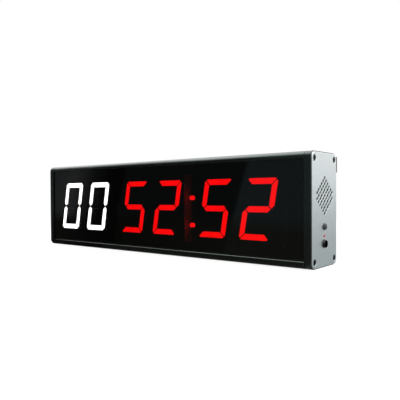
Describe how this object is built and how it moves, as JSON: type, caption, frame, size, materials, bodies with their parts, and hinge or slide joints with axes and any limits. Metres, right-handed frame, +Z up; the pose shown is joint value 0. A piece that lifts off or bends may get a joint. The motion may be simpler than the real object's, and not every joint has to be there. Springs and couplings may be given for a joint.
{
  "type": "gym timer",
  "caption": "Long extruded case with a smoked window over slanted seven-segment digits, a silver end plate with speaker grille, button, lamp and power socket, and sliding rear wall hangers.",
  "frame": {"origin": "centre of the outline seen from above, at the height of the base that it stands on", "axes": "+X along the case towards the end with the button and socket, +Y from the window to the wall, +Z up"},
  "size_m": [0.3718, 0.0566, 0.1],
  "materials": {
    "black_anodised": "black anodised, satin",
    "smoked_acrylic": "smoked acrylic, polished",
    "black_abs": "black moulded plastic, fine grain",
    "blasted_aluminium": "bead-blasted, clear anodised",
    "black_screw": "black zinc",
    "module_face": "black printed face",
    "white_segment": "diffusing epoxy, lit white",
    "red_segment": "diffusing epoxy, lit red",
    "circuit_board": "green solder mask on glass epoxy",
    "chip_epoxy": "black epoxy",
    "nylon": "natural nylon",
    "cell_steel": "nickel-plated steel",
    "zinc_steel": "bright zinc",
    "speaker_paper": "black paper",
    "foam": "soft foam ring",
    "ferrite": "ferrite magnet, ground",
    "brass_nickel": "nickel-plated brass",
    "lead_pvc": "black insulation",
    "button_plastic": "dark grey plastic"
  },
  "bodies": {
    "case": {"case_extrusion": "black_anodised", "front_panel": "smoked_acrylic", "end_cap_left": "black_abs", "end_cap_right": "black_abs", "end_plate_left": "blasted_aluminium", "end_plate_right": "blasted_aluminium", "end_screw_left_1": "black_screw", "end_screw_left_2": "black_screw", "end_screw_left_3": "black_screw", "end_screw_left_4": "black_screw", "end_screw_right_1": "black_screw", "end_screw_right_2": "black_screw", "end_screw_right_3": "black_screw", "end_screw_right_4": "black_screw", "digit_1_housing": "module_face", "digit_2_housing": "module_face", "digit_3_housing": "module_face", "digit_4_housing": "module_face", "digit_5_housing": "module_face", "digit_6_housing": "module_face", "digit_1_segments": "white_segment", "digit_2_segments": "white_segment", "digit_3_segments": "red_segment", "digit_4_segments": "red_segment", "digit_5_segments": "red_segment", "digit_6_segments": "red_segment", "colon_led_upper": "red_segment", "colon_led_lower": "red_segment", "ir_receiver": "chip_epoxy", "display_board": "circuit_board", "control_board": "circuit_board", "control_chip": "chip_epoxy", "battery_holder": "chip_epoxy", "clock_battery": "cell_steel", "board_connector": "chip_epoxy", "board_spacer_1": "nylon", "board_spacer_2": "nylon", "board_spacer_3": "nylon", "board_spacer_4": "nylon", "side_board": "circuit_board", "power_switch_body": "chip_epoxy", "status_led": "red_segment", "dc_jack": "black_abs", "dc_jack_pin": "brass_nickel", "speaker_gasket": "foam", "speaker_basket": "zinc_steel", "speaker_cone": "speaker_paper", "speaker_magnet": "ferrite", "speaker_lead": "lead_pvc", "power_lead": "lead_pvc"},
    "power_button": {"power_button": "button_plastic", "power_switch_stem": "nylon"},
    "hanger_left": {"hanger_left": "zinc_steel", "hanger_nut_left": "zinc_steel", "hanger_screw_left": "zinc_steel"},
    "hanger_right": {"hanger_right": "zinc_steel", "hanger_nut_right": "zinc_steel", "hanger_screw_right": "zinc_steel"}
  },
  "joints": [
    {"name": "power_button_press", "type": "slide", "parent": "case", "child": "power_button", "axis": [-1, 0, 0], "range_m": [0, 0.0005], "stiffness_N_per_m": 1500, "springref_m": -0.0003},
    {"name": "hanger_left_slide", "type": "slide", "parent": "case", "child": "hanger_left", "axis": [1, 0, 0], "range_m": [-0.05, 0.095]},
    {"name": "hanger_right_slide", "type": "slide", "parent": "case", "child": "hanger_right", "axis": [1, 0, 0], "range_m": [-0.095, 0.05]}
  ]
}
